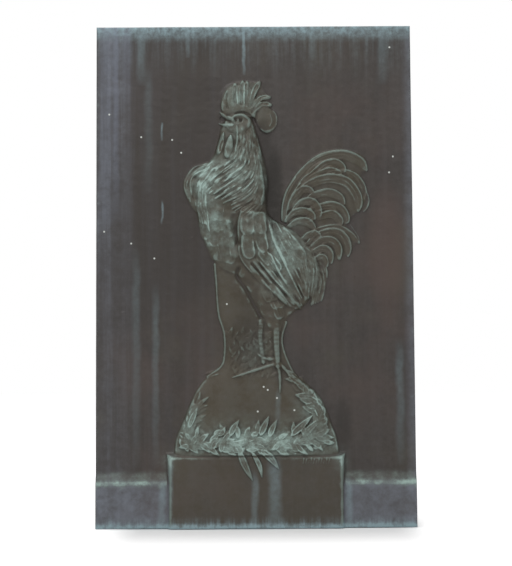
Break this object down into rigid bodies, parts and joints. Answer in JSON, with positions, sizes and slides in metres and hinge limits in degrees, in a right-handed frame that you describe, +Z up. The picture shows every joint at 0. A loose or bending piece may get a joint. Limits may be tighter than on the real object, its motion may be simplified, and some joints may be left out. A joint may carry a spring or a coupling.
{
  "type": "relief plaque",
  "caption": "Cast bronze wall plaque: a cockerel in relief on a laurel-ringed mound and block plinth, with a flat back that is fixed against a wall",
  "frame": {"origin": "centre of the flat back face that lies against the wall", "axes": "+Z up the plaque, +X to the right as seen from the front, front with the relief looks along -Y, back faces +Y"},
  "size_m": [0.316, 0.0256, 0.5],
  "materials": {
    "bronze": "dark brown bronze patina with pale green verdigris on the raised work"
  },
  "bodies": {
    "root": {"relief_plaque": "bronze"}
  },
  "joints": []
}
